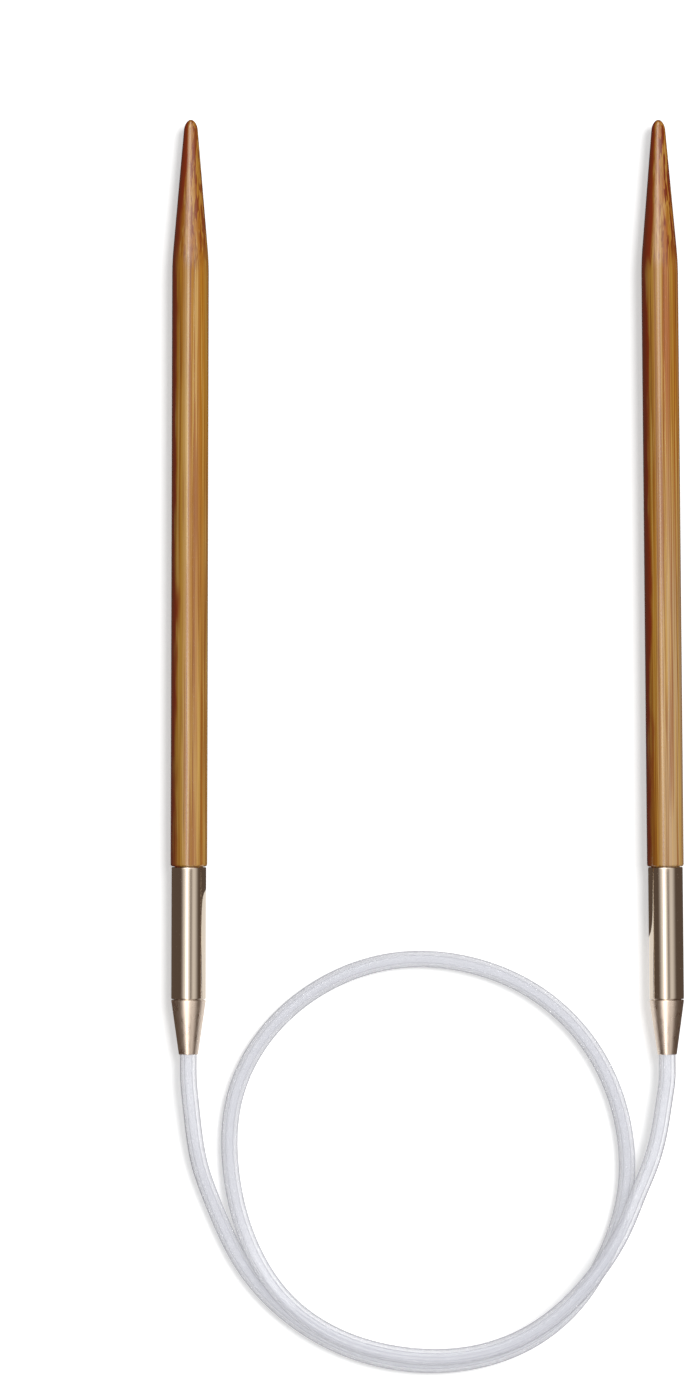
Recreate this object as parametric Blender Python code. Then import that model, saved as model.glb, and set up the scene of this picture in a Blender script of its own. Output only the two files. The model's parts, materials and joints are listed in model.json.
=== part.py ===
"""Circular knitting needle: two bamboo needles joined by one flexible tube cord.

Each needle is a bamboo tip glued into a metal ferrule. The ferrule is a tube, the barrel,
closed by a turned nose cone. The cord passes through the cone. A collar swaged on the
cord's end is caught behind the cone, so the cord can turn in the needle but not pull out.

The needles lie side by side on the surface z = 0, their tips towards +Y. The origin is on
that surface, half way between them and half way along them.
"""
import bpy
import bmesh
import numpy as np
from math import cos, pi, radians, sin, sqrt
from mathutils import Vector

MM = 0.001
SIDES = 24

# Driving dimensions, in millimetres. Stations along a needle are measured from its mouth,
# where the cord comes out, towards its tip.
NEEDLE_LENGTH = 140.2
SHANK_RADIUS = 2.75
TAPER_LENGTH = 21.3
TIP_RADIUS = 0.91
NOSE_LENGTH = 2.0
TAPER_BLEND = 2.2
SHANK_EDGE = 0.45
CONE_LENGTH = 8.2
CONE_MOUTH_RADIUS = 1.45
BARREL_LENGTH = 19.8
BARREL_RADIUS = 2.6
BARREL_BORE = 2.2
TENON_LENGTH = 12.0
SPIGOT_LENGTH = 2.0
CORD_RADIUS = 1.25
COLLAR_LENGTH = 4.8
PIN_SHANK_LENGTH = 3.4
PIN_SHANK_RADIUS = 0.6
PIN_HEAD_LENGTH = 0.6
PIN_HEAD_RADIUS = 1.7

# Clearances and edge breaks, in millimetres.
GLUE_GAP = 0.05
RUNNING_GAP = 0.07
SWAGE_GAP = 0.03
SEAM_GAP = 0.1
END_FLOAT = 0.2
FACE_GAP = 0.3
EDGE_BREAK = 0.15

# Where the two mouths are, and how far each needle leans from +Y, counter-clockwise.
MOUTH_Y = -NEEDLE_LENGTH / 2
LEFT_MOUTH_X = -35.77
RIGHT_MOUTH_X = 36.05
LEFT_LEAN = radians(-0.155)
RIGHT_LEAN = radians(0.55)

# Stations worked out from the dimensions above.
SPIGOT_TOP = CONE_LENGTH + SPIGOT_LENGTH
BARREL_BOTTOM = CONE_LENGTH + SEAM_GAP
BARREL_TOP = BARREL_BOTTOM + BARREL_LENGTH
SHANK_BOTTOM = BARREL_TOP + SEAM_GAP
TENON_BOTTOM = SHANK_BOTTOM - TENON_LENGTH
COLLAR_BOTTOM = SPIGOT_TOP + END_FLOAT
COLLAR_TOP = COLLAR_BOTTOM + COLLAR_LENGTH
PIN_HEAD_BOTTOM = COLLAR_TOP + SEAM_GAP
PIN_TIP = PIN_HEAD_BOTTOM - PIN_SHANK_LENGTH
CORD_END = PIN_TIP - FACE_GAP

# The cord's free route from the left mouth to the right one, x, y, z in millimetres. It
# drops to the surface, makes a turn and a half, and passes over its own first half turn.
# It leaves each mouth straight, for the length of the exit run, before this route begins.
EXIT_RUN = 2.5
ROUTE = [
    (-35.42, -77.5, 2.62), (-34.95, -81.8, 2.25), (-34.08, -86.7, 1.75), (-32.3, -91.9, 1.40),
    (-30.1, -97.1, 1.27), (-27.6, -101.7, 1.27), (-21.7, -108.4, 1.27),
    (-13.4, -113.7, 1.27), (-4.1, -116.4, 1.27), (5.7, -116.4, 1.27), (15.0, -113.4, 1.27),
    (21.9, -108.0, 1.27), (26.6, -100.9, 1.27), (29.8, -90.8, 1.27), (29.2, -79.5, 1.27),
    (24.7, -69.1, 1.27), (16.8, -61.2, 1.27), (6.4, -56.7, 1.27), (-5.0, -56.1, 1.27),
    (-15.8, -59.9, 1.27), (-24.5, -67.6, 1.27), (-29.0, -77.2, 1.27), (-29.5, -86.7, 1.40),
    (-28.1, -94.3, 2.00), (-25.4, -101.0, 2.90), (-20.7, -107.4, 3.65), (-12.9, -112.6, 3.75),
    (-3.9, -115.1, 3.72), (5.5, -115.2, 3.75), (14.5, -112.4, 3.78), (21.3, -107.5, 3.92),
    (26.2, -101.8, 4.02), (29.7, -95.8, 3.90), (31.68, -91.0, 3.60), (33.38, -86.9, 3.25),
    (34.74, -82.2, 3.00), (35.56, -77.3, 2.82),
]
CORD_STEP = 5.0


def metres(points):
    return [Vector(p) * MM for p in points]


def srgb(red, green, blue):
    """A colour given as 0 to 255 screen values, as Blender's linear values."""
    return [((c / 255 + 0.055) / 1.055) ** 2.4 for c in (red, green, blue)] + [1.0]


def make_material(name, colour, roughness, metallic=0.0, alpha=1.0):
    material = bpy.data.materials.new(name)
    material.use_nodes = True
    shader = material.node_tree.nodes["Principled BSDF"]
    shader.inputs["Base Color"].default_value = colour
    shader.inputs["Roughness"].default_value = roughness
    shader.inputs["Metallic"].default_value = metallic
    shader.inputs["Alpha"].default_value = alpha
    material.diffuse_color = colour
    return material


def turned_piece(name, profile, closed, material, parent):
    """Turn a profile of (radius, station) points about the parent's Z axis.

    The flats lie at the stated radii, and one flat faces straight down when the needle
    lies on a surface. An open profile starts and ends on the axis.
    """
    flat_to_corner = 1 / cos(pi / SIDES)
    bm = bmesh.new()
    verts = [bm.verts.new((r * flat_to_corner * MM, 0, z * MM)) for r, z in profile]
    edges = [bm.edges.new(pair) for pair in zip(verts, verts[1:])]
    if closed:
        edges.append(bm.edges.new((verts[-1], verts[0])))
    bmesh.ops.spin(bm, geom=verts + edges, cent=(0, 0, 0), axis=(0, 0, 1),
                   angle=2 * pi, steps=SIDES, use_merge=True)
    bmesh.ops.remove_doubles(bm, verts=bm.verts, dist=0.001 * MM)
    bmesh.ops.recalc_face_normals(bm, faces=bm.faces)
    mesh = bpy.data.meshes.new(name)
    bm.to_mesh(mesh)
    bm.free()
    mesh.shade_smooth()
    mesh.set_sharp_from_angle(angle=radians(30))
    mesh.materials.append(material)
    piece = bpy.data.objects.new(name, mesh)
    bpy.context.collection.objects.link(piece)
    piece.parent = parent
    piece.rotation_euler.z = pi / SIDES
    return piece


def axis_empty(name, mouth_x, lean):
    """An empty at a needle's mouth, its Z axis along the needle towards the tip."""
    empty = bpy.data.objects.new(name, None)
    bpy.context.collection.objects.link(empty)
    empty.location = (mouth_x * MM, MOUTH_Y * MM, SHANK_RADIUS * MM)
    empty.rotation_euler = (-pi / 2, 0, lean)
    return empty


def taper_radius(from_tip):
    """The bamboo's radius at a distance from the very tip: nose, straight taper, shank."""
    slope = (SHANK_RADIUS - TIP_RADIUS) / TAPER_LENGTH
    blend_end = TAPER_LENGTH + TAPER_BLEND
    if from_tip >= blend_end:
        return SHANK_RADIUS
    if from_tip > TAPER_LENGTH - TAPER_BLEND:
        return SHANK_RADIUS - slope * (blend_end - from_tip) ** 2 / (4 * TAPER_BLEND)
    radius = TIP_RADIUS + slope * from_tip
    if from_tip < NOSE_LENGTH:
        radius *= sqrt(1 - (1 - from_tip / NOSE_LENGTH) ** 2)
    return radius


def needle_tip_profile():
    """Bamboo: rounded nose, long taper, plain shank, and a tenon that fills the barrel."""
    nose = [NOSE_LENGTH * (1 - cos(k * pi / 12)) for k in range(6)]
    taper = [NOSE_LENGTH, TAPER_LENGTH / 2]
    shoulder = [TAPER_LENGTH + TAPER_BLEND * k / 2 for k in range(-2, 3)]
    outer = [(taper_radius(s), NEEDLE_LENGTH - s) for s in nose + taper + shoulder]
    edge = [(SHANK_RADIUS - SHANK_EDGE * (1 - cos(k * pi / 6)),
             SHANK_BOTTOM + SHANK_EDGE * (1 - sin(k * pi / 6))) for k in range(4)]
    tenon_radius = BARREL_BORE - GLUE_GAP
    tenon = [(tenon_radius, SHANK_BOTTOM),
             (tenon_radius, TENON_BOTTOM + EDGE_BREAK),
             (tenon_radius - EDGE_BREAK, TENON_BOTTOM),
             (0, TENON_BOTTOM)]
    return outer + edge + tenon


def barrel_profile():
    """Ferrule barrel: a plain tube with its two outer edges broken."""
    return [(BARREL_RADIUS - EDGE_BREAK, BARREL_TOP),
            (BARREL_RADIUS, BARREL_TOP - EDGE_BREAK),
            (BARREL_RADIUS, BARREL_BOTTOM + EDGE_BREAK),
            (BARREL_RADIUS - EDGE_BREAK, BARREL_BOTTOM),
            (BARREL_BORE, BARREL_BOTTOM),
            (BARREL_BORE, BARREL_TOP)]


def cone_profile():
    """Ferrule cone: a spigot pressed into the barrel, then a nose that tapers to the cord."""
    spigot_radius = BARREL_BORE - GLUE_GAP
    bore = CORD_RADIUS + RUNNING_GAP
    lip = EDGE_BREAK / 3
    return [(spigot_radius, SPIGOT_TOP),
            (spigot_radius, CONE_LENGTH),
            (BARREL_RADIUS - EDGE_BREAK, CONE_LENGTH),
            (BARREL_RADIUS, CONE_LENGTH - EDGE_BREAK),
            (CONE_MOUTH_RADIUS, lip),
            (CONE_MOUTH_RADIUS - lip, 0),
            (bore, 0),
            (bore, SPIGOT_TOP)]


def collar_profile():
    """Swivel collar: a short sleeve swaged on the cord, free to turn in the barrel."""
    outer = BARREL_BORE - RUNNING_GAP
    bore = CORD_RADIUS + SWAGE_GAP
    return [(outer - EDGE_BREAK, COLLAR_TOP),
            (outer, COLLAR_TOP - EDGE_BREAK),
            (outer, COLLAR_BOTTOM + EDGE_BREAK),
            (outer - EDGE_BREAK, COLLAR_BOTTOM),
            (bore, COLLAR_BOTTOM),
            (bore, COLLAR_TOP)]


def cord_pin_profile():
    """Cord pin: pushed into the tube's bore so that the swaged collar has something to grip."""
    head_top = PIN_HEAD_BOTTOM + PIN_HEAD_LENGTH
    return [(0, head_top),
            (PIN_HEAD_RADIUS - EDGE_BREAK, head_top),
            (PIN_HEAD_RADIUS, head_top - EDGE_BREAK),
            (PIN_HEAD_RADIUS, PIN_HEAD_BOTTOM),
            (PIN_SHANK_RADIUS, PIN_HEAD_BOTTOM),
            (PIN_SHANK_RADIUS, PIN_TIP + EDGE_BREAK),
            (PIN_SHANK_RADIUS - EDGE_BREAK, PIN_TIP),
            (0, PIN_TIP)]


def needle_point(mouth_x, lean, station):
    """A point on a needle's axis."""
    return Vector((mouth_x - station * sin(lean), MOUTH_Y + station * cos(lean), SHANK_RADIUS)) * MM


def spline_slopes(points, start_slope, end_slope):
    """Slopes that make a cubic curve through the points bend smoothly, ends held."""
    gaps = [(b - a).length for a, b in zip(points, points[1:])]
    count = len(points)
    matrix = np.zeros((count, count))
    target = np.zeros((count, 3))
    matrix[0, 0] = matrix[-1, -1] = 1
    target[0], target[-1] = start_slope, end_slope
    for i in range(1, count - 1):
        before, after = 1 / gaps[i - 1], 1 / gaps[i]
        matrix[i, i - 1:i + 2] = before, 2 * (before + after), after
        target[i] = 3 * ((points[i] - points[i - 1]) * before ** 2 + (points[i + 1] - points[i]) * after ** 2)
    return np.linalg.solve(matrix, target), gaps


def smooth_curve(points, start_slope, end_slope, pieces):
    """Points along the smooth curve through the given ones, each gap cut into pieces."""
    slopes, gaps = spline_slopes(points, start_slope, end_slope)
    curve = [points[0]]
    for i, gap in enumerate(gaps):
        for k in range(1, pieces + 1):
            t = k / pieces
            ease = t * t * (3 - 2 * t)
            leave = Vector(slopes[i]) * gap * t * (1 - t) ** 2
            arrive = Vector(slopes[i + 1]) * gap * t * t * (1 - t)
            curve.append(points[i] * (1 - ease) + points[i + 1] * ease + leave - arrive)
    return curve


def even_steps(curve, step):
    """Points at an even step along a fine curve, its two ends included."""
    travel = [0.0]
    for a, b in zip(curve, curve[1:]):
        travel.append(travel[-1] + (b - a).length)
    count = round(travel[-1] / step)
    marks = np.linspace(0, travel[-1], count + 1)
    axes = [np.interp(marks, travel, [p[k] for p in curve]) for k in range(3)]
    return [Vector(p) for p in zip(*axes)]


def cord_path():
    """The cord's centreline: straight through each ferrule, smooth along its route between."""
    left_end = needle_point(LEFT_MOUTH_X, LEFT_LEAN, CORD_END)
    left_exit = needle_point(LEFT_MOUTH_X, LEFT_LEAN, -EXIT_RUN)
    right_end = needle_point(RIGHT_MOUTH_X, RIGHT_LEAN, CORD_END)
    right_exit = needle_point(RIGHT_MOUTH_X, RIGHT_LEAN, -EXIT_RUN)
    outward = (left_exit - left_end).normalized()
    inward = (right_end - right_exit).normalized()
    free = smooth_curve([left_exit] + metres(ROUTE) + [right_exit], outward, inward, 16)
    return even_steps([left_end] + free + [right_end], CORD_STEP * MM)


def make_cord(material):
    """The tube cord, drawn as one solid round cord from collar to collar."""
    curve = bpy.data.curves.new("cord", "CURVE")
    curve.dimensions = "3D"
    curve.bevel_depth = CORD_RADIUS * MM
    curve.bevel_resolution = 2
    curve.use_fill_caps = True
    path = cord_path()
    spline = curve.splines.new("POLY")
    spline.points.add(len(path) - 1)
    for point, place in zip(spline.points, path):
        point.co = (*place, 1)
    curve.materials.append(material)
    cord = bpy.data.objects.new("cord", curve)
    bpy.context.collection.objects.link(cord)
    return cord


def make_needle(side, mouth_x, lean, materials):
    """One needle with the cord's end pieces caught inside it."""
    swivel = axis_empty(side + "_swivel", mouth_x, lean)
    cord_end = axis_empty(side + "_cord_end", mouth_x, lean)
    turned_piece(side + "_needle_tip", needle_tip_profile(), False, materials["bamboo"], swivel)
    turned_piece(side + "_ferrule_barrel", barrel_profile(), True, materials["polished"], swivel)
    turned_piece(side + "_ferrule_cone", cone_profile(), True, materials["satin"], swivel)
    turned_piece(side + "_swivel_collar", collar_profile(), True, materials["brass"], cord_end)
    turned_piece(side + "_cord_pin", cord_pin_profile(), False, materials["steel"], cord_end)


def main():
    for existing in list(bpy.data.objects):
        bpy.data.objects.remove(existing)
    materials = {
        "bamboo": make_material("bamboo", srgb(166, 112, 52), 0.35),
        "polished": make_material("polished_ferrule", srgb(214, 202, 188), 0.12, metallic=1.0),
        "satin": make_material("satin_ferrule", srgb(206, 192, 174), 0.32, metallic=1.0),
        "brass": make_material("brass", srgb(200, 164, 92), 0.3, metallic=1.0),
        "steel": make_material("steel", srgb(190, 192, 196), 0.3, metallic=1.0),
        "cord": make_material("cord", srgb(224, 224, 230), 0.25, alpha=0.6),
    }
    make_needle("left", LEFT_MOUTH_X, LEFT_LEAN, materials)
    make_needle("right", RIGHT_MOUTH_X, RIGHT_LEAN, materials)
    make_cord(materials["cord"])


main()
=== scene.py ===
"""Looks of the circular knitting needle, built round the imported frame.

Every length is in metres. A station is a distance along a needle, from its mouth, where the
cord comes out, towards its tip. Each needle's own space has its origin at the mouth and its
Z axis along the needle; its X axis points to the right and its Y axis down.
"""
import bmesh
import bpy
import json
import numpy as np
from math import cos, hypot, pi, radians, sin, sqrt
from mathutils import Matrix, Vector


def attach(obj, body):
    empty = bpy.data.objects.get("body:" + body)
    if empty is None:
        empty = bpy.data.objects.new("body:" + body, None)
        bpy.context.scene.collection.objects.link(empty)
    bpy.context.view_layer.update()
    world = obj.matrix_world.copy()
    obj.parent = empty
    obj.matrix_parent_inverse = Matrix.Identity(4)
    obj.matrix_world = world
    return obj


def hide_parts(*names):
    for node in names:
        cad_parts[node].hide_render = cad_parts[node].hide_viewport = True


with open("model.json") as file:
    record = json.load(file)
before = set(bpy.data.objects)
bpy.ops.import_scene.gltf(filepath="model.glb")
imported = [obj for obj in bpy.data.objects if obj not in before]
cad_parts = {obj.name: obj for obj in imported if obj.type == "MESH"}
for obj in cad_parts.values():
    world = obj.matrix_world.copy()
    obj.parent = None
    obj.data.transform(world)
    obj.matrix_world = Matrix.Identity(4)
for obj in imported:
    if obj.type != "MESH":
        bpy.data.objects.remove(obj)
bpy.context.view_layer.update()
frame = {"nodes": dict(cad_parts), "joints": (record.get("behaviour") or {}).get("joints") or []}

MM = 0.001
CAD_SIDES = 24
SIDES = 96
SHARP = radians(35)
MERGE_GAP = 0.0005 * MM

# The bamboo. The blend is half the length over which the taper rounds into the shank.
TAPER_LENGTH = 21.3 * MM
TAPER_BLEND = 2.2 * MM
TIP_RADIUS = 0.91 * MM
NOSE_LENGTH = 1.5 * MM
SHOULDER_EDGE = 0.35 * MM
TENON_LENGTH = 12.0 * MM
TENON_EDGE = 0.15 * MM
NOSE_POINTS = 16
TAPER_POINTS = 12
BLEND_POINTS = 11
SHANK_POINTS = 20

# The metal pieces. The plain side of the barrel starts BARREL_END from each of its ends. The
# cone's rounded edges meet its side where they face CONE_EDGE_ANGLE, in degrees from outward.
BARREL_BORE = 2.2 * MM
BARREL_EDGE = 0.15 * MM
BARREL_END = 0.8 * MM
GLUE_GAP = 0.05 * MM
CONE_BORE = 1.32 * MM
CONE_MOUTH_RADIUS = 1.45 * MM
CONE_LIP = 0.05 * MM
CONE_EDGE_ANGLE = 10
SPIGOT_LENGTH = 2.0 * MM
COLLAR_BORE = 1.28 * MM
COLLAR_EDGE = 0.15 * MM
PIN_SHANK_RADIUS = 0.58 * MM
PIN_HEAD_LENGTH = 0.6 * MM
PIN_EDGE = 0.12 * MM
EDGE_STEPS = 6
FINE_EDGE_STEPS = 8
LIP_STEPS = 5
INNER_EDGE_STEPS = 4

# The cord: a hollow tube. It leaves each mouth straight, for the length of the exit run,
# then follows the route, and inside each ferrule it runs on to the pin's head.
TUBE_RADIUS = 1.25 * MM
TUBE_BORE = 0.62 * MM
TUBE_SIDES = 32
BORE_SIDES = 20
TUBE_STEP = 0.6 * MM
CURVE_STEPS = 16
EXIT_RUN = 2.5 * MM
ROUTE = [
    (-0.03542, -0.0775, 0.00262), (-0.03495, -0.0818, 0.00225), (-0.03408, -0.0867, 0.00175),
    (-0.0323, -0.0919, 0.00140), (-0.0301, -0.0971, 0.00127), (-0.0276, -0.1017, 0.00127),
    (-0.0217, -0.1084, 0.00127), (-0.0134, -0.1137, 0.00127), (-0.0041, -0.1164, 0.00127),
    (0.0057, -0.1164, 0.00127), (0.0150, -0.1134, 0.00127), (0.0219, -0.1080, 0.00127),
    (0.0266, -0.1009, 0.00127), (0.0298, -0.0908, 0.00127), (0.0292, -0.0795, 0.00127),
    (0.0247, -0.0691, 0.00127), (0.0168, -0.0612, 0.00127), (0.0064, -0.0567, 0.00127),
    (-0.0050, -0.0561, 0.00127), (-0.0158, -0.0599, 0.00127), (-0.0245, -0.0676, 0.00127),
    (-0.0290, -0.0772, 0.00127), (-0.0295, -0.0867, 0.00140), (-0.0281, -0.0943, 0.00200),
    (-0.0254, -0.1010, 0.00290), (-0.0207, -0.1074, 0.00365), (-0.0129, -0.1126, 0.00375),
    (-0.0039, -0.1151, 0.00372), (0.0055, -0.1152, 0.00375), (0.0145, -0.1124, 0.00378),
    (0.0213, -0.1075, 0.00392), (0.0262, -0.1018, 0.00402), (0.0297, -0.0958, 0.00390),
    (0.03168, -0.0910, 0.00360), (0.03338, -0.0869, 0.00325), (0.03474, -0.0822, 0.00300),
    (0.03556, -0.0773, 0.00282),
]

# The stage: a pure white floor, and a key light for a soft, short shadow on the left. The key
# tilts from overhead towards the right, and turns from there towards the tips. The sky's
# levels are what matt surfaces get from above and from below, and SKY_THROUGH is what is seen
# bent through plastic.
FLOOR_COLOUR = (1.0, 1.0, 1.0, 1.0)
FLOOR_GLOW = 0.35
FLOOR_SIZE = 12.0
FLOOR_GAP = 0.01 * MM
KEY_STRENGTH = 2.1
KEY_WIDTH = radians(30)
KEY_TILT = radians(29)
KEY_TURN = radians(32)
SKY_ABOVE = 0.4
SKY_BELOW = 0.1
HORIZON = (-0.3, 0.3)
SKY_THROUGH = (0.9, 0.9, 0.9, 1.0)

# What the gloss sees: a dim room, soft strips along the needles and a card between the
# ferrules. A strip has four angles round the needles, from overhead and positive to the
# right: it grows from the first to the second, and fades from the third to the fourth. The
# veil is a strip that only surfaces tilted towards the tips see.
ROOM_COLOUR = (0.12, 0.09, 0.073)
BRIGHT_STRIP = [radians(a) for a in (-56, -8, -6, 18)]
BRIGHT_LEVEL = 1.3
CORE_STRIP = [radians(a) for a in (-21, -15, -10, -4)]
CORE_LEVEL = 1.6
DIM_STRIP = [radians(a) for a in (6, 33, 35, 72)]
DIM_LEVEL = 0.68
VEIL = [radians(a) for a in (-54, -28, 8, 42)]
VEIL_LEVEL = 1.0
VEIL_TILT = (0.07, 0.15)
CARD_GLOW = 0.95
CARD_DEPTH = 1.0 * MM
CARD_FRONT = -0.125
CARD_BACK_LEFT = -0.045
CARD_BACK_RIGHT = -0.053

# The camera looks straight down. The view's height is the length that it sees, from the top
# of the picture to its foot, at the height of the needles' axes.
VIEW_CENTRE = (-0.01228, -0.01551)
VIEW_HEIGHT = 0.20715
LENS = 300
SENSOR = 36
FAR_CLIP = 100


# ---------------------------------------------------------------- places taken from the frame

def needle_space(side):
    """The matrix from a needle's own space to the frame."""
    joint = next(j for j in frame["joints"] if j["name"] == side + "_swivel")
    along = Vector(joint["axis"]).normalized()
    down = Vector((0, 0, -1))
    right = down.cross(along)
    return Matrix.Translation(joint["pos_m"]) @ Matrix((right, down, along)).transposed().to_4x4()


def turned_size(node, space):
    """A turned CAD node's lowest station, highest station and largest radius across its flats."""
    back = space.inverted()
    points = [back @ v.co for v in frame["nodes"][node].data.vertices]
    stations = [p.z for p in points]
    corner = max(hypot(p.x, p.y) for p in points)
    return min(stations), max(stations), corner * cos(pi / CAD_SIDES)


# ---------------------------------------------------------------- mesh building

def add_object(name, mesh, material):
    """An object for a mesh, with its material, in the scene."""
    mesh.materials.append(material)
    piece = bpy.data.objects.new(name, mesh)
    bpy.context.collection.objects.link(piece)
    return piece


def arc(centre, radius, start, end, steps):
    """Points (radius, station) on part of a circle, with angles in degrees from outward."""
    angles = [radians(start + (end - start) * k / steps) for k in range(steps + 1)]
    return [(centre[0] + radius * cos(a), centre[1] + radius * sin(a)) for a in angles]


def turned(name, profile, closed, space, material):
    """Turn a profile of (radius, station) points about a needle's axis."""
    bm = bmesh.new()
    verts = [bm.verts.new((r, 0, z)) for r, z in profile]
    edges = [bm.edges.new(pair) for pair in zip(verts, verts[1:])]
    if closed:
        edges.append(bm.edges.new((verts[-1], verts[0])))
    bmesh.ops.spin(bm, geom=verts + edges, cent=(0, 0, 0), axis=(0, 0, 1),
                   angle=2 * pi, steps=SIDES, use_merge=True)
    bmesh.ops.remove_doubles(bm, verts=bm.verts, dist=MERGE_GAP)
    bmesh.ops.recalc_face_normals(bm, faces=bm.faces)
    mesh = bpy.data.meshes.new(name)
    bm.to_mesh(mesh)
    bm.free()
    mesh.shade_smooth()
    mesh.set_sharp_from_angle(angle=SHARP)
    piece = add_object(name, mesh, material)
    piece.matrix_world = space
    return piece


def fit_to_frame(piece, body, node):
    """Make a piece stand for its CAD node: put it on the given body and hide the node."""
    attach(piece, body)
    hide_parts(node)
    return piece


# ---------------------------------------------------------------- node building

class Nodes:
    """A short way to write the nodes of a material, or of the world."""

    def __init__(self, owner):
        self.owner = bpy.data.materials.new(owner) if isinstance(owner, str) else owner
        self.owner.use_nodes = True
        self.tree = self.owner.node_tree

    def add(self, kind, inputs=(), **settings):
        """A new node. Inputs are (name, value or socket) pairs."""
        node = self.tree.nodes.new(kind)
        for key, value in settings.items():
            setattr(node, key, value)
        for key, value in inputs:
            self.put(node, key, value)
        return node

    def put(self, node, key, value):
        """Give one of a node's inputs a value, or link it to a socket."""
        if isinstance(value, bpy.types.NodeSocket):
            self.tree.links.new(value, node.inputs[key])
        else:
            node.inputs[key].default_value = value

    def parts(self, vector):
        """The X, Y and Z of a vector."""
        return list(self.add("ShaderNodeSeparateXYZ", [(0, vector)]).outputs)

    def grey(self, value):
        """A vector with the same value three times."""
        return self.add("ShaderNodeCombineXYZ", [(0, value), (1, value), (2, value)]).outputs[0]

    def band(self, value, edges, level):
        """level between the two middle edges, falling smoothly to nothing at the outer two."""
        rise = self.step(value, edges[0], edges[1], 0.0, level)
        fall = self.step(value, edges[2], edges[3], 1.0, 0.0)
        return self.math("MULTIPLY", rise, fall)

    def math(self, operation, a, b=0.0, clamp=False):
        """One operation on one or two values."""
        node = self.add("ShaderNodeMath", [(0, a), (1, b)], operation=operation, use_clamp=clamp)
        return node.outputs[0]

    def place(self, scale, offset=(0, 0, 0)):
        """Points in the piece's own space, times scale, plus offset."""
        here = self.add("ShaderNodeTexCoord").outputs["Object"]
        mapping = self.add("ShaderNodeMapping",
                           [("Vector", here), ("Scale", scale), ("Location", offset)])
        return mapping.outputs[0]

    def noise(self, size, detail=2.0, offset=(0, 0, 0), roughness=0.5):
        """Noise from 0 to 1 with cells of about this size, in metres, along X, Y and Z."""
        where = self.place([1 / s for s in size], offset)
        node = self.add("ShaderNodeTexNoise",
                        [("Vector", where), ("Scale", 1.0), ("Detail", detail),
                         ("Roughness", roughness)])
        return node.outputs["Fac"]

    def step(self, value, low, high, bottom=0.0, top=1.0):
        """A smooth step from bottom to top as value goes from low to high."""
        node = self.add("ShaderNodeMapRange",
                        [("Value", value), ("From Min", low), ("From Max", high),
                         ("To Min", bottom), ("To Max", top)],
                        interpolation_type="SMOOTHSTEP")
        return node.outputs[0]

    def mix(self, share, a, b):
        """Colour a, or colour b where share is 1."""
        node = self.add("ShaderNodeMix", [(0, share), (6, a), (7, b)], data_type="RGBA")
        return node.outputs[2]

    def bump(self, height, distance, strength=1.0):
        """A normal that follows a height from 0 to 1, which stands for distance in metres."""
        node = self.add("ShaderNodeBump",
                        [("Height", height), ("Distance", distance), ("Strength", strength)])
        return node.outputs[0]

    def surface(self, **inputs):
        """Set the surface shader's inputs, with spaces written as underscores."""
        for key, value in inputs.items():
            self.put(self.tree.nodes["Principled BSDF"], key.replace("_", " "), value)
        return self.owner


def cell(across, along):
    """The size of a noise cell, from millimetres across a needle and along it."""
    return across * MM, across * MM, along * MM


def srgb(red, green, blue):
    """A colour given as 0 to 255 screen values, as linear values."""
    return [((c / 255 + 0.055) / 1.055) ** 2.4 for c in (red, green, blue)] + [1.0]


# ---------------------------------------------------------------- materials

# Bamboo: its colours, how each needle differs, and the lines in it. A needle's seed times
# SEED_SHIFT moves its noise. A layer of lines has the width and length of its fibres in
# millimetres, the noise levels where it starts and is full, its strength, and its colour.
GOLDEN = srgb(180, 120, 30)
OCHRE = srgb(186, 138, 54)
# The pale colour is a painted sheen.
PAINTED_SHEEN = srgb(194, 162, 122)
ORANGE = srgb(166, 82, 10)
RUSSET = srgb(164, 92, 22)
DARK_RED = srgb(122, 36, 0)
# The band's colour: partly a redder tone, partly painted shade.
SHADED_SIDE_RED = srgb(140, 46, 2)
SEED_SHIFT = (7.3, 3.1, 1.7)
# Each needle's pale value is how strong its painted sheen is.
WOOD = {
    "left": {"seed": 1.0, "pale": 0.15, "striped": 0.25, "flecked": 0.8},
    "right": {"seed": 2.0, "pale": 0.8, "striped": 0.8, "flecked": 0.95},
}
WOOD_LAYERS = [
    (0.30, 60, 0.50, 0.58, 0.75, srgb(150, 84, 12)),
    (0.40, 45, 0.53, 0.62, 0.7, srgb(208, 166, 88)),
    (0.18, 35, 0.56, 0.64, 0.7, srgb(124, 62, 8)),
]

# Where the wood changes, in millimetres of station: the pale tone, a painted sheen on the
# # right side, comes in towards the barrel, the stripes and the look of the taper towards the
# # tip. TAPER_LOOK is from the taper's start, and there the wood is more russet, and flecked
# # where its own noise is above an edge.
SHEEN_STATIONS = (100, 66)
STRIPED_STATIONS = (62, 92)
TAPER_LOOK = (-3, 5)
TAPER_RUSSET = 0.3
FLECK_EDGE = (0.51, 0.56)
FLECK_SHIFT = 4

# The red band on the left side, the side away from the key light: partly a redder tone and
# # partly painted shade. Its edge is a cosine of the angle from the needle's right side,
# # which wanders, reaches further on the taper, and draws back below the side, over a depth in
# # millimetres.
BAND_EDGE = (-0.86, -0.56)
BAND_WANDER = 0.2
BAND_ON_TAPER = 0.22
BAND_BELOW = 0.5
BAND_DEPTH = 1.6

# The lacquer over the wood, and the metals.
COAT_IOR = 1.8
POLISHED_PLATING = srgb(222, 208, 190)
SATIN_PLATING = srgb(224, 207, 190)
BRASS = srgb(200, 164, 92)
STEEL = srgb(190, 192, 196)

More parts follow.
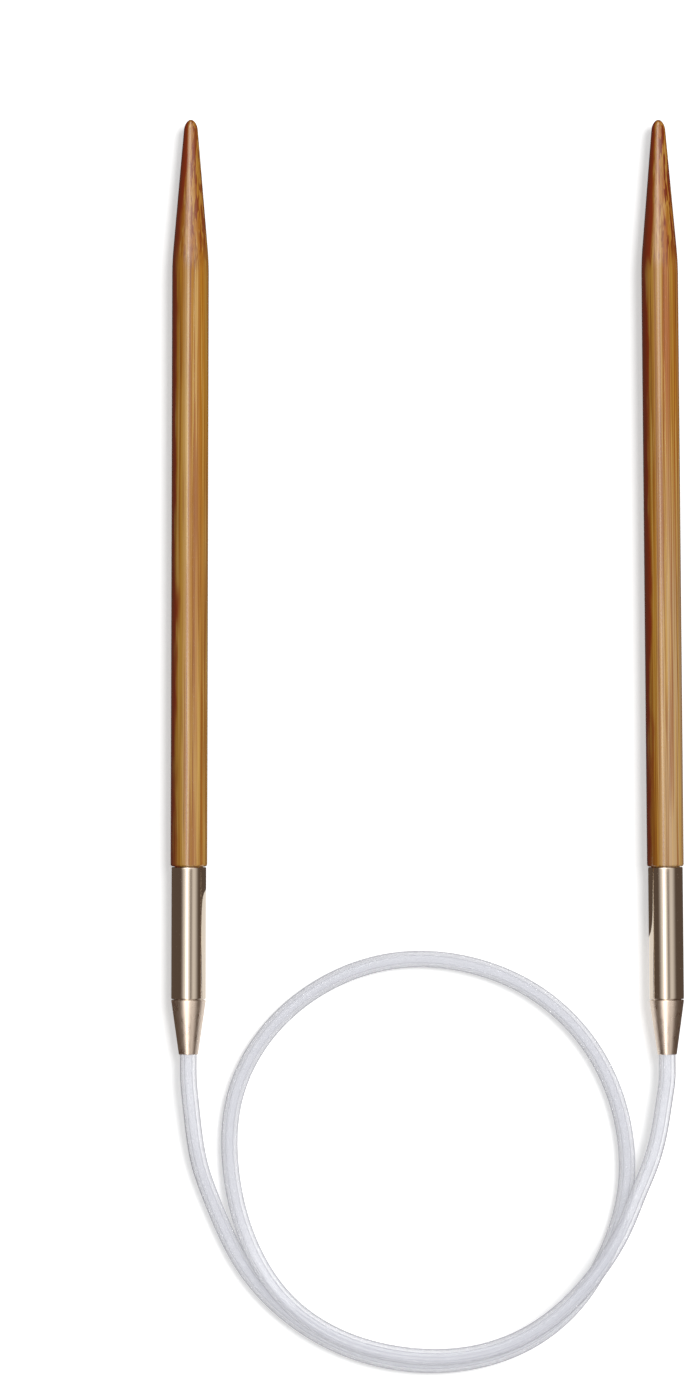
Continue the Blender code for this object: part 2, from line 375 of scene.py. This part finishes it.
# The tube. Density is how much of the light each of its surfaces stops, of which the clear
# # share is bent through it and the rest is scattered. It varies by the cloud, and the shade is
# # added for light on its way to the floor. The rim is where a surface is seen edge on, between
# # two values of how far it turns away. There the colour is painted shade, a darker grey in place
# # of the dark outlines that bending gives. The glow is painted light: an even glow that stands in
# # for light carried along in the wall.
TUBE_COLOUR = srgb(211, 212, 219)
TUBE_DENSITY = 0.40
TUBE_CLEARNESS = 0.4
TUBE_CLOUD = 0.03
TUBE_SHADE = 0.3
TUBE_IOR = 1.45
PAINTED_GLOW_COLOUR = srgb(239, 240, 246)
TUBE_PAINTED_GLOW = 0.25
RIM = (0.2, 0.75)
RIM_SHADE_COLOUR = srgb(150, 150, 157)
RIM_DENSITY = 0.80


def bamboo_material(side, taper_start):
    """Lacquered bamboo. The fibres run along the needle all through the wood, and the taper
    cuts across them, which shows as flecks. A band along the left side, the side away from the
    key light, is dark red: partly a redder tone and partly painted shade. It reaches from the
    upper left just past the side."""
    n = Nodes(side + "_bamboo")
    wood = WOOD[side]
    shift = [wood["seed"] * k for k in SEED_SHIFT]
    x, y, z = n.parts(n.place((1 / MM, 1 / MM, 1 / MM)))  # in millimetres
    tone = n.noise(cell(1.3, 80), 2.0, shift)
    colour = n.mix(n.step(tone, 0.38, 0.62), GOLDEN, OCHRE)

    # Painted sheen: a pale tone on the right side, towards the barrel.
    pale = n.step(z, *SHEEN_STATIONS, 0.0, wood["pale"])
    colour = n.mix(n.math("MULTIPLY", n.step(x, -0.6, 0.6), pale), colour, PAINTED_SHEEN)
    striped = n.step(z, *STRIPED_STATIONS, 0.0, wood["striped"])
    striped_side = n.math("MULTIPLY", n.step(x, -0.8, 0.6), striped)
    stripes = n.noise(cell(0.42, 60), 1.0, shift)
    colour = n.mix(n.math("MULTIPLY", n.step(stripes, 0.50, 0.60), striped_side), colour, ORANGE)

    for width, length, low, high, share, tint in WOOD_LAYERS:
        lines = n.noise(cell(width, length), 3.0, [k + width for k in shift], 0.6)
        colour = n.mix(n.step(lines, low, high, 0.0, share), colour, tint)

    on_taper = n.step(z, *[taper_start / MM + k for k in TAPER_LOOK])
    colour = n.mix(n.math("MULTIPLY", on_taper, TAPER_RUSSET), colour, RUSSET)
    fleck = n.step(n.noise(cell(0.5, 5), 2.0, [k + FLECK_SHIFT for k in shift]), *FLECK_EDGE)
    flecked = n.math("MULTIPLY", n.step(x, -0.3, 0.3, 0.0, wood["flecked"]), on_taper)
    colour = n.mix(n.math("MULTIPLY", fleck, flecked), colour, DARK_RED)

    wander = n.step(n.noise(cell(2.0, 12), 2.0, shift), 0.2, 0.8, -BAND_WANDER, BAND_WANDER)
    radius = n.math("SQRT", n.math("ADD", n.math("MULTIPLY", x, x), n.math("MULTIPLY", y, y)))
    edge = n.math("ADD", n.math("DIVIDE", x, radius), wander)
    edge = n.math("SUBTRACT", edge, n.math("MULTIPLY", on_taper, BAND_ON_TAPER))
    edge = n.math("ADD", edge, n.step(y, 0.0, BAND_DEPTH, 0.0, BAND_BELOW))
    # The red band on the side away from the key light: partly a redder tone, partly painted shade.
    colour = n.mix(n.step(edge, *BAND_EDGE, 1.0, 0.0), colour, SHADED_SIDE_RED)

    grain = n.noise(cell(0.16, 30), 3.0, shift)
    ripple = n.noise(cell(0.35, 60), 2.0, shift)
    return n.surface(
        Base_Color=colour, Roughness=n.step(grain, 0.3, 0.7, 0.40, 0.55), Specular_IOR_Level=0.0,
        Normal=n.bump(grain, 0.02 * MM, 0.6),
        Coat_Weight=1.0, Coat_IOR=COAT_IOR, Coat_Roughness=n.step(grain, 0.3, 0.7, 0.06, 0.12),
        Coat_Normal=n.bump(ripple, 0.02 * MM, 0.6))


def polished_material():
    """Polished pale champagne plating, with the faint lengthwise haze of handling."""
    n = Nodes("polished_ferrule")
    haze = n.noise(cell(0.5, 7), 3.0)
    scratch = n.noise(cell(0.06, 2.5), 2.0)
    rough = n.math("ADD", n.step(haze, 0.3, 0.7, 0.05, 0.11), n.step(scratch, 0.55, 0.8, 0.0, 0.05))
    return n.surface(Base_Color=POLISHED_PLATING, Metallic=1.0, Roughness=rough,
                     Normal=n.bump(scratch, 0.0006 * MM, 0.5))


def satin_material():
    """The same plating over a turned cone: fine rings round it, and a satin sheen."""
    n = Nodes("satin_ferrule")
    rings = n.noise(cell(40, 0.05), 3.0)
    patch = n.noise(cell(0.9, 1.6), 2.0)
    return n.surface(Base_Color=SATIN_PLATING, Metallic=1.0,
                     Roughness=n.step(patch, 0.3, 0.7, 0.26, 0.36),
                     Normal=n.bump(rings, 0.006 * MM, 0.7))


def turned_metal_material(name, colour):
    """Plain turned metal, for the pieces inside the ferrules."""
    n = Nodes(name)
    rings = n.noise(cell(30, 0.08), 2.0)
    tone = n.noise(cell(1, 2), 2.0)
    shade = n.mix(n.step(tone, 0.3, 0.7), colour, [c * 0.8 for c in colour[:3]] + [1.0])
    return n.surface(Base_Color=shade, Metallic=1.0, Roughness=0.3,
                     Normal=n.bump(rings, 0.01 * MM, 0.6))


def tube_material():
    """Milky, translucent plastic tube. Its wall looks denser where it is seen edge on, and it
    stops more of the light that would reach the floor than of what comes straight through.
    Its colour is painted darker at the edges as painted shade, and it has a painted glow."""
    n = Nodes("clear_tube")
    cloud = n.noise(cell(1.5, 1.5), 3.0)
    facing = n.add("ShaderNodeLayerWeight", [("Blend", 0.5)]).outputs["Facing"]
    rim = n.step(facing, *RIM)
    shadow = n.add("ShaderNodeLightPath").outputs["Is Shadow Ray"]
    density = n.step(facing, *RIM, TUBE_DENSITY, RIM_DENSITY)
    density = n.math("ADD", density, n.step(cloud, 0.3, 0.7, -TUBE_CLOUD, TUBE_CLOUD))
    density = n.math("ADD", density, n.math("MULTIPLY", shadow, TUBE_SHADE), clamp=True)
    # The rim's darker colour is painted shade. The emission is a painted glow, not a lamp.
    return n.surface(
        Base_Color=n.mix(rim, TUBE_COLOUR, RIM_SHADE_COLOUR),
        Roughness=n.step(cloud, 0.3, 0.7, 0.06, 0.10),
        IOR=TUBE_IOR, Transmission_Weight=TUBE_CLEARNESS, Alpha=density,
        Emission_Color=n.mix(rim, PAINTED_GLOW_COLOUR, RIM_SHADE_COLOUR), Emission_Strength=TUBE_PAINTED_GLOW)


# ---------------------------------------------------------------- needle pieces

def taper_radius(from_tip, shank_radius):
    """The bamboo's radius at a distance from the very tip: nose, straight taper, shank."""
    slope = (shank_radius - TIP_RADIUS) / TAPER_LENGTH
    blend_end = TAPER_LENGTH + TAPER_BLEND
    if from_tip >= blend_end:
        return shank_radius
    if from_tip > TAPER_LENGTH - TAPER_BLEND:
        return shank_radius - slope * (blend_end - from_tip) ** 2 / (4 * TAPER_BLEND)
    radius = TIP_RADIUS + slope * from_tip
    if from_tip < NOSE_LENGTH:
        radius *= sqrt(1 - (1 - from_tip / NOSE_LENGTH) ** 2)
    return radius


def bamboo_profile(low, high, radius):
    """Rounded nose, long taper, plain shank, rounded shoulder, and the tenon in the barrel."""
    nose = [NOSE_LENGTH * (1 - cos(k * pi / 2 / NOSE_POINTS)) for k in range(NOSE_POINTS)]
    blend_start, blend_end = TAPER_LENGTH - TAPER_BLEND, TAPER_LENGTH + TAPER_BLEND
    taper = list(np.linspace(NOSE_LENGTH, blend_start, TAPER_POINTS))
    blend = list(np.linspace(blend_start, blend_end, BLEND_POINTS))[1:]
    shoulder = low + TENON_LENGTH
    shank = list(np.linspace(blend_end, high - shoulder - SHOULDER_EDGE, SHANK_POINTS))[1:-1]
    outer = [(taper_radius(s, radius), high - s) for s in nose + taper + blend + shank]
    centre = (radius - SHOULDER_EDGE, shoulder + SHOULDER_EDGE)
    edge = arc(centre, SHOULDER_EDGE, 0, -90, FINE_EDGE_STEPS)
    tenon = BARREL_BORE - GLUE_GAP
    tenon_end = [(tenon, low + TENON_EDGE), (tenon - TENON_EDGE, low), (0, low)]
    return outer + edge + [(tenon, shoulder)] + tenon_end


def barrel_profile(low, high, radius):
    """A plain tube with its two outer edges rounded over."""
    top = arc((radius - BARREL_EDGE, high - BARREL_EDGE), BARREL_EDGE, 90, 0, EDGE_STEPS)
    side = [(radius, high - BARREL_END), (radius, low + BARREL_END)]
    bottom = arc((radius - BARREL_EDGE, low + BARREL_EDGE), BARREL_EDGE, 0, -90, EDGE_STEPS)
    return top + side + bottom + [(BARREL_BORE, low), (BARREL_BORE, high)]


def cone_profile(low, high, radius):
    """A spigot pressed into the barrel, then a nose that tapers to the cord."""
    shoulder = high - SPIGOT_LENGTH
    spigot = BARREL_BORE - GLUE_GAP
    centre = (radius - BARREL_EDGE, shoulder - BARREL_EDGE)
    top = arc(centre, BARREL_EDGE, 90, CONE_EDGE_ANGLE, EDGE_STEPS)
    lip_centre = (CONE_MOUTH_RADIUS - CONE_LIP, low + CONE_LIP)
    lip = arc(lip_centre, CONE_LIP, CONE_EDGE_ANGLE, -90, LIP_STEPS)
    return [(spigot, high), (spigot, shoulder)] + top + lip + [(CONE_BORE, low), (CONE_BORE, high)]


def collar_profile(low, high, radius):
    """A short sleeve swaged on the cord."""
    outside = radius - COLLAR_EDGE
    top = arc((outside, high - COLLAR_EDGE), COLLAR_EDGE, 90, 0, INNER_EDGE_STEPS)
    bottom = arc((outside, low + COLLAR_EDGE), COLLAR_EDGE, 0, -90, INNER_EDGE_STEPS)
    return top + bottom + [(COLLAR_BORE, low), (COLLAR_BORE, high)]


def pin_profile(low, high, radius):
    """A headed pin pushed into the tube's bore."""
    neck = high - PIN_HEAD_LENGTH
    head = arc((radius - PIN_EDGE, high - PIN_EDGE), PIN_EDGE, 90, 0, INNER_EDGE_STEPS)
    shank = PIN_SHANK_RADIUS - PIN_EDGE
    tip = arc((shank, low + PIN_EDGE), PIN_EDGE, 0, -90, INNER_EDGE_STEPS)
    return [(0, high)] + head + [(radius, neck), (PIN_SHANK_RADIUS, neck)] + tip + [(0, low)]


def make_needle(side, materials):
    """One needle: bamboo, barrel and cone on the needle's body; collar and pin on the cord's."""
    space = needle_space(side)
    needle = side + "_needle"

    def make(ending, profile, closed, body, material):
        node = side + ending
        outline = profile(*turned_size(node, space))
        piece = turned(node + "_visual", outline, closed, space, material)
        return fit_to_frame(piece, body, node)

    make("_needle_tip", bamboo_profile, False, needle, materials[side])
    make("_ferrule_barrel", barrel_profile, True, needle, materials["polished"])
    make("_ferrule_cone", cone_profile, True, needle, materials["satin"])
    brass, steel = materials["brass"], materials["steel"]
    collar = make("_swivel_collar", collar_profile, True, "cord", brass)
    pin = make("_cord_pin", pin_profile, False, "cord", steel)
    return [collar, pin]


# ---------------------------------------------------------------- the cord

def spline_slopes(points, start_slope, end_slope):
    """Slopes that make a cubic curve through the points bend smoothly, ends held."""
    gaps = [(b - a).length for a, b in zip(points, points[1:])]
    count = len(points)
    matrix = np.zeros((count, count))
    target = np.zeros((count, 3))
    matrix[0, 0] = matrix[-1, -1] = 1
    target[0], target[-1] = start_slope, end_slope
    for i in range(1, count - 1):
        before, after = 1 / gaps[i - 1], 1 / gaps[i]
        matrix[i, i - 1:i + 2] = before, 2 * (before + after), after
        rise = (points[i] - points[i - 1]) * before ** 2 + (points[i + 1] - points[i]) * after ** 2
        target[i] = 3 * rise
    return np.linalg.solve(matrix, target), gaps


def smooth_curve(points, start_slope, end_slope, pieces):
    """Points along the smooth curve through the given ones, each gap cut into pieces."""
    slopes, gaps = spline_slopes(points, start_slope, end_slope)
    curve = [points[0]]
    for i, gap in enumerate(gaps):
        for k in range(1, pieces + 1):
            t = k / pieces
            ease = t * t * (3 - 2 * t)
            leave = Vector(slopes[i]) * gap * t * (1 - t) ** 2
            arrive = Vector(slopes[i + 1]) * gap * t * t * (1 - t)
            curve.append(points[i] * (1 - ease) + points[i + 1] * ease + leave - arrive)
    return curve


def even_steps(curve, step):
    """Points at an even step along a fine curve, its two ends included."""
    travel = [0.0]
    for a, b in zip(curve, curve[1:]):
        travel.append(travel[-1] + (b - a).length)
    marks = np.linspace(0, travel[-1], round(travel[-1] / step) + 1)
    axes = [np.interp(marks, travel, [p[k] for p in curve]) for k in range(3)]
    return [Vector(p) for p in zip(*axes)]


def tube_path():
    """The tube's centreline, from one pin's head to the other's."""
    left, right = needle_space("left"), needle_space("right")
    left_end = left @ Vector((0, 0, turned_size("left_swivel_collar", left)[1]))
    right_end = right @ Vector((0, 0, turned_size("right_swivel_collar", right)[1]))
    left_exit = left @ Vector((0, 0, -EXIT_RUN))
    right_exit = right @ Vector((0, 0, -EXIT_RUN))
    outward = (left_exit - left_end).normalized()
    inward = (right_end - right_exit).normalized()
    route = [Vector(p) for p in ROUTE]
    free = smooth_curve([left_exit] + route + [right_exit], outward, inward, CURVE_STEPS)
    return even_steps([left_end] + free + [right_end], TUBE_STEP)


def path_frames(path):
    """At each point of a path, two directions square to it that turn as little as they can."""
    side = Vector((1, 0, 0))
    frames = []
    for i in range(len(path)):
        before, after = path[max(i - 1, 0)], path[min(i + 1, len(path) - 1)]
        along = (after - before).normalized()
        side = (side - along * side.dot(along)).normalized()
        frames.append((side, along.cross(side)))
    return frames


def swept_wall(bm, path, frames, radius, sides):
    """Rings of a round wall along a path, joined by faces. Returns the first and last ring."""
    rings = []
    for centre, (u, v) in zip(path, frames):
        turns = [2 * pi * k / sides for k in range(sides)]
        rings.append([bm.verts.new(centre + (u * cos(a) + v * sin(a)) * radius) for a in turns])
    for ring, following in zip(rings, rings[1:]):
        for k in range(sides):
            after = (k + 1) % sides
            bm.faces.new((ring[k], ring[after], following[after], following[k]))
    return rings[0], rings[-1]


def edges_round(ring):
    """The edges that join a ring's vertices."""
    members = set(ring)
    touching = {e for v in ring for e in v.link_edges}
    return [e for e in touching if all(v in members for v in e.verts)]


def make_tube(path, material):
    """The hollow tube: an outer wall, a bore, and a flat ring at each end."""
    bm = bmesh.new()
    frames = path_frames(path)
    outer = swept_wall(bm, path, frames, TUBE_RADIUS, TUBE_SIDES)
    inner = swept_wall(bm, path, frames, TUBE_BORE, BORE_SIDES)
    for outside, inside in zip(outer, inner):
        bmesh.ops.bridge_loops(bm, edges=edges_round(outside) + edges_round(inside))
    bmesh.ops.recalc_face_normals(bm, faces=bm.faces)
    mesh = bpy.data.meshes.new("cord_tube")
    bm.to_mesh(mesh)
    bm.free()
    mesh.shade_smooth()
    mesh.set_sharp_from_angle(angle=SHARP)
    return add_object("cord_tube", mesh, material)


def make_cord(material):
    """The tube on the cord's body, ending in the two needles."""
    path = tube_path()
    tube = make_tube(path, material)
    fit_to_frame(tube, "cord", "cord")


# ---------------------------------------------------------------- stage

def stage_quad(name, corners, material):
    """A flat four-sided piece of the stage, which throws no light on matt surfaces."""
    mesh = bpy.data.meshes.new(name)
    mesh.from_pydata(corners, [], [(0, 1, 2, 3)])
    quad = add_object(name, mesh, material)
    quad.visible_diffuse = False
    return quad


def make_floor():
    """A plain white floor that glows a little, as a light table does."""
    n = Nodes("floor")
    n.surface(Base_Color=FLOOR_COLOUR, Roughness=1.0, Specular_IOR_Level=0.0,
              Emission_Color=FLOOR_COLOUR, Emission_Strength=FLOOR_GLOW)
    far = FLOOR_SIZE / 2
    low = -FLOOR_GAP
    corners = [(-far, -far, low), (far, -far, low), (far, far, low), (-far, far, low)]
    floor = stage_quad("floor", corners, n.owner)
    floor.visible_glossy = False


def make_card():
    """A white card that only the gloss sees, between the ferrules, under their inner sides."""
    n = Nodes("card")
    n.surface(Base_Color=(0, 0, 0, 1), Emission_Color=(1, 1, 1, 1), Emission_Strength=CARD_GLOW)
    left, right = (needle_space(side).translation.x for side in ("left", "right"))
    low = -CARD_DEPTH
    corners = [(left, CARD_FRONT, low), (right, CARD_FRONT, low),
               (right, CARD_BACK_RIGHT, low), (left, CARD_BACK_LEFT, low)]
    card = stage_quad("card", corners, n.owner)
    card.visible_camera = False
    card.visible_transmission = False
    card.visible_shadow = False


def make_key():
    """One broad, soft light from above, on the right and on the tips' side."""
    data = bpy.data.lights.new("key", "SUN")
    data.energy = KEY_STRENGTH
    data.angle = KEY_WIDTH
    key = bpy.data.objects.new("key", data)
    bpy.context.collection.objects.link(key)
    lean = sin(KEY_TILT)
    from_light = Vector((-lean * cos(KEY_TURN), -lean * sin(KEY_TURN), -cos(KEY_TILT)))
    key.rotation_euler = from_light.to_track_quat("-Z", "Y").to_euler()
    key.visible_glossy = False
    key.visible_transmission = False


def make_world():
    """The studio round the stage: even light for matt surfaces, a dim room with soft strips
    for gloss, one pale tone for what is bent through plastic, and white behind it all."""
    world = bpy.data.worlds.new("studio")
    bpy.context.scene.world = world
    world.cycles.sampling_method = "NONE"
    n = Nodes(world)
    x, y, z = n.parts(n.add("ShaderNodeTexCoord").outputs["Generated"])
    around = n.math("ARCTAN2", x, z)
    bright = n.band(around, BRIGHT_STRIP, BRIGHT_LEVEL)
    dim = n.band(around, DIM_STRIP, DIM_LEVEL)
    core = n.band(around, CORE_STRIP, CORE_LEVEL)
    veil = n.math("MULTIPLY", n.band(around, VEIL, VEIL_LEVEL), n.step(y, *VEIL_TILT))
    strips = n.math("ADD", n.math("ADD", n.math("ADD", bright, dim), core), veil)
    added = n.add("ShaderNodeVectorMath", [(0, ROOM_COLOUR), (1, n.grey(strips))], operation="ADD")
    matt = n.grey(n.step(z, *HORIZON, SKY_BELOW, SKY_ABOVE))
    rays = n.add("ShaderNodeLightPath").outputs
    light = n.mix(rays["Is Glossy Ray"], matt, added.outputs[0])
    light = n.mix(rays["Is Transmission Ray"], light, SKY_THROUGH)
    light = n.mix(rays["Is Camera Ray"], light, FLOOR_COLOUR)
    n.put(n.tree.nodes["Background"], "Color", light)


def make_camera(axis_height):
    """A long lens high above, looking straight down."""
    data = bpy.data.cameras.new("camera")
    data.lens = LENS
    data.sensor_width = SENSOR
    data.clip_end = FAR_CLIP
    camera = bpy.data.objects.new("camera", data)
    bpy.context.collection.objects.link(camera)
    camera.location = (*VIEW_CENTRE, axis_height + VIEW_HEIGHT * LENS / SENSOR)
    bpy.context.scene.camera = camera


def main():
    taper_start = turned_size("left_needle_tip", needle_space("left"))[1] - TAPER_LENGTH
    materials = {
        "left": bamboo_material("left", taper_start),
        "right": bamboo_material("right", taper_start),
        "polished": polished_material(),
        "satin": satin_material(),
        "brass": turned_metal_material("collar_brass", BRASS),
        "steel": turned_metal_material("pin_steel", STEEL),
    }
    end_pieces = make_needle("left", materials) + make_needle("right", materials)
    make_cord(tube_material())
    make_floor()
    make_card()
    make_key()
    make_world()
    make_camera(needle_space("left").translation.z)
    bpy.context.scene.view_settings.view_transform = "Standard"
    bpy.context.scene.cycles.caustics_refractive = False


main()
